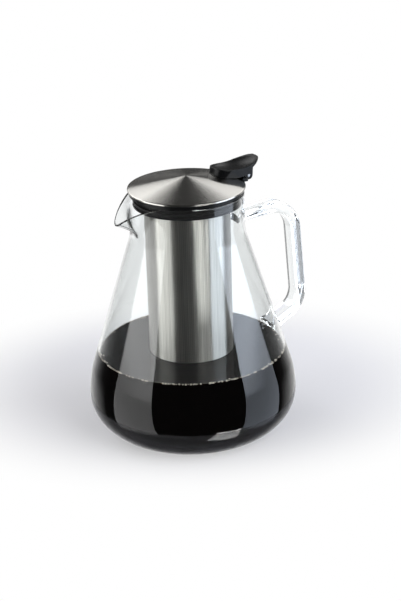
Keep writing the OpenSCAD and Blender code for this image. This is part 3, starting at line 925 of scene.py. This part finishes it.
shine = add(lid_steel, "BsdfPrincipled", {"Metallic": 1.0, "Anisotropic": LID_ANISOTROPY,
                                          "Anisotropic Rotation": QUARTER_TURN},
            {"Base Color": tone.outputs[2], "Roughness": rough.outputs[0], "Tangent": grooves.outputs[0]})
add(lid_steel, "OutputMaterial", links={"Surface": shine.outputs[0]})
print("lathe rings about", RING_MM, "mm apart")

# %% Lid dome
LID_R = 41.3
LID_BOTTOM = 182.8
DOME_Z = 183.8
DOME_H = 7.9
DOME_POWER = 1.15
DOME_SHEET = 0.8
DOME_ROUND = 0.35
DOME_ROUND_LIFT = 0.1
DOME_ROUND_START = math.pi / 3
DOME_ROUND_STEPS = 5
DOME_STEPS = 60
DOME_TURNS = 256


def dome_height(r):
    """Height of the dome's outside at a radius."""
    return DOME_Z + DOME_H * (1 - (r / LID_R) ** DOME_POWER)


outside = [(LID_R * k, dome_height(LID_R * k)) for k in (i / DOME_STEPS for i in range(DOME_STEPS - 1))]
shoulder = arc((LID_R - DOME_ROUND, DOME_Z - DOME_ROUND + DOME_ROUND_LIFT), DOME_ROUND,
               DOME_ROUND_START, 0, DOME_ROUND_STEPS)
inner_r = LID_R - DOME_SHEET
hem = [(LID_R, LID_BOTTOM + EDGE), (LID_R - EDGE, LID_BOTTOM),
       (inner_r + EDGE, LID_BOTTOM), (inner_r, LID_BOTTOM + EDGE)]
inside = [(inner_r * k, dome_height(inner_r * k) - DOME_SHEET)
          for k in (i / DOME_STEPS for i in range(DOME_STEPS + 1))]
dome = make_piece("spun_dome", *turned(outside + shoulder + hem + inside[::-1], DOME_TURNS), lid_steel)
outward(dome)
dome.data.set_sharp_from_angle(angle=CREASE)
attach(dome, "lid")
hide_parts("lid_dome")
print("dome has", len(dome.data.polygons), "faces")

# %% [markdown]
# The rim, the closed end, the screws and the pin are plain steel as it leaves the mill. They are small or
# out of sight, so an even metal would pass, but a fine grain in the roughness keeps them from looking like
# chrome.

# %% Plain steel
# Mill finish gives the eye a grey, cloudy shine. Its grain is drawn coarser than it is, so that it shows.
MILL_GRAIN_MM = 1.0
MILL_ROUGHNESS = (0.25, 0.42)
plain_steel = with_nodes(bpy.data.materials.new("mill_finish_steel"))
place = add(plain_steel, "TexCoord")
grain = add(plain_steel, "TexNoise", {"Scale": 1 / (MILL_GRAIN_MM * MM), "Detail": 3.0},
            {"Vector": place.outputs["Object"]})
rough = add(plain_steel, "MapRange", {"To Min": MILL_ROUGHNESS[0], "To Max": MILL_ROUGHNESS[1]},
            {"Value": grain.outputs["Fac"]})
shine = add(plain_steel, "BsdfPrincipled", {"Base Color": linear("#b3b4b5"), "Metallic": 1.0},
            {"Roughness": rough.outputs[0]})
add(plain_steel, "OutputMaterial", links={"Surface": shine.outputs[0]})
print(plain_steel.name, "grain", MILL_GRAIN_MM, "mm")

# %% [markdown]
# ## Black parts
# The collar, liner and lever are moulded polypropylene with a fine spark texture from the mould. The seals
# are moulded silicone. One function makes both, because both are a dark plastic with a grain pressed into
# it, and only the numbers differ.

# %% Moulded polypropylene and silicone
# The spark texture gives the eye a soft sheen with no clear picture in it, and silicone a duller one. The
# grains are drawn coarser than they are, so that they show.
GRAIN_STRENGTH = 0.5
GRAIN_ROUGHNESS_SPREAD = 0.05
SATIN_SPECULAR = 0.25


def grained(name, colour, roughness, ior, grain_mm, grain_depth_mm):
    """A moulded black with a fine grain pressed in by the mould."""
    made = with_nodes(bpy.data.materials.new(name))
    place = add(made, "TexCoord")
    grain = add(made, "TexNoise", {"Scale": 1 / (grain_mm * MM), "Detail": 2.0},
                {"Vector": place.outputs["Object"]})
    bump = add(made, "Bump", {"Strength": GRAIN_STRENGTH, "Distance": grain_depth_mm * MM},
               {"Height": grain.outputs["Fac"]})
    rough = add(made, "MapRange", {"To Min": roughness - GRAIN_ROUGHNESS_SPREAD,
                                   "To Max": roughness + GRAIN_ROUGHNESS_SPREAD},
                {"Value": grain.outputs["Fac"]})
    shine = add(made, "BsdfPrincipled", {"Base Color": linear(colour), "IOR": ior,
                                         "Specular IOR Level": SATIN_SPECULAR},
                {"Roughness": rough.outputs[0], "Normal": bump.outputs["Normal"]})
    add(made, "OutputMaterial", links={"Surface": shine.outputs[0]})
    return made


black_moulding = grained("moulded_polypropylene", "#0c0d0e", roughness=0.3, ior=1.49,
                         grain_mm=0.6, grain_depth_mm=0.02)
silicone = grained("moulded_silicone", "#0a0a0b", roughness=0.38, ior=1.41,
                   grain_mm=0.8, grain_depth_mm=0.02)
print("two blacks:", black_moulding.name, silicone.name)

# %% [markdown]
# The collar's seal is a silicone sleeve with three soft lips that press on the neck. Each lip is a half
# round with a blunt nose, so the sleeve is one section, worked out lip by lip and turned round the axis.

# %% Collar seal
SEAL_LIPS = 3
SEAL_LIP_H = 1.1
SEAL_WEB = 1.2
SEAL_LIP_STEPS = 8
SEAL_FIT = 0.05
SEAL_TURNS = 160
PLUG_GAP = 3.0
seal_low, seal_high = (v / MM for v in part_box("collar_seal"))
collar_plug_r = NECK_R - WALL - PLUG_GAP
seal_in_r = collar_plug_r + SEAL_FIT
seal_root_r = collar_plug_r + SEAL_WEB
seal_pitch = (seal_high.z - seal_low.z - SEAL_LIP_H) / (SEAL_LIPS - 1)
seal_section = [(seal_in_r, seal_low.z)]
for k in range(SEAL_LIPS):
    middle = seal_low.z + SEAL_LIP_H / 2 + k * seal_pitch
    for i in range(SEAL_LIP_STEPS + 1):
        a = math.pi * (i / SEAL_LIP_STEPS - 0.5)
        bulge = math.sqrt(abs(math.cos(a)))
        seal_section.append((seal_root_r + (seal_high.x - seal_root_r) * bulge,
                             middle + SEAL_LIP_H / 2 * math.sin(a)))
seal_section.append((seal_in_r, seal_high.z))
seal = make_piece("lipped_seal", *turned(seal_section, SEAL_TURNS), silicone)
outward(seal)
seal.data.set_sharp_from_angle(angle=CREASE)
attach(seal, "infuser")
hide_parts("collar_seal")
print("seal lips every", round(seal_pitch, 2), "mm")

# %% [markdown]
# ## Solids that stay
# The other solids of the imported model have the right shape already, so they keep it and get a finish and
# softer edges. The lever is the one piece that a hand presses, and its edges are well rounded in the mould:
# a fine voxel skin over the solid, smoothed a little, rounds them all at once. The rest get a narrow bevel,
# because a real edge always catches a line of light.

# %% Finish the CAD pieces that stay
finishes = {"collar": black_moulding, "infuser_rim": plain_steel,
            "infuser_base": plain_steel, "lid_liner": black_moulding, "lid_seal": silicone,
            "lid_lever": black_moulding, "lever_screws": plain_steel, "hinge_pin": plain_steel}
for name, finish in finishes.items():
    mesh = nodes[name].data
    mesh.materials.clear()
    mesh.materials.append(finish)
print(len(finishes), "CAD pieces finished")

# %% Soften the edges
LEVER_SKIN_MM = 0.3
LEVER_SOFTEN = 6
BEVEL_MM = 0.2
BEVEL_SEGMENTS = 2
lever = nodes["lid_lever"]
skin = lever.modifiers.new("skin", "REMESH")
skin.mode = "VOXEL"
skin.voxel_size = LEVER_SKIN_MM * MM
skin.use_smooth_shade = True
soften = lever.modifiers.new("soften", "SMOOTH")
soften.iterations = LEVER_SOFTEN
bevelled = [name for name in finishes if name != "lid_lever"]
for name in bevelled:
    bevel = nodes[name].modifiers.new("bevel", "BEVEL")
    bevel.width = BEVEL_MM * MM
    bevel.segments = BEVEL_SEGMENTS
    bevel.limit_method = "ANGLE"
    bevel.angle_limit = CREASE
print(len(bevelled), "pieces bevelled by", BEVEL_MM, "mm")

# %% [markdown]
# ## Size
# Looks must not change the jug's dimensions, so the last step measures the dressed model's box and prints
# it.

# %% Measure the box and finish
low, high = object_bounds()
print("visual box in mm", [round(v / MM, 1) for v in (*low, *high)])
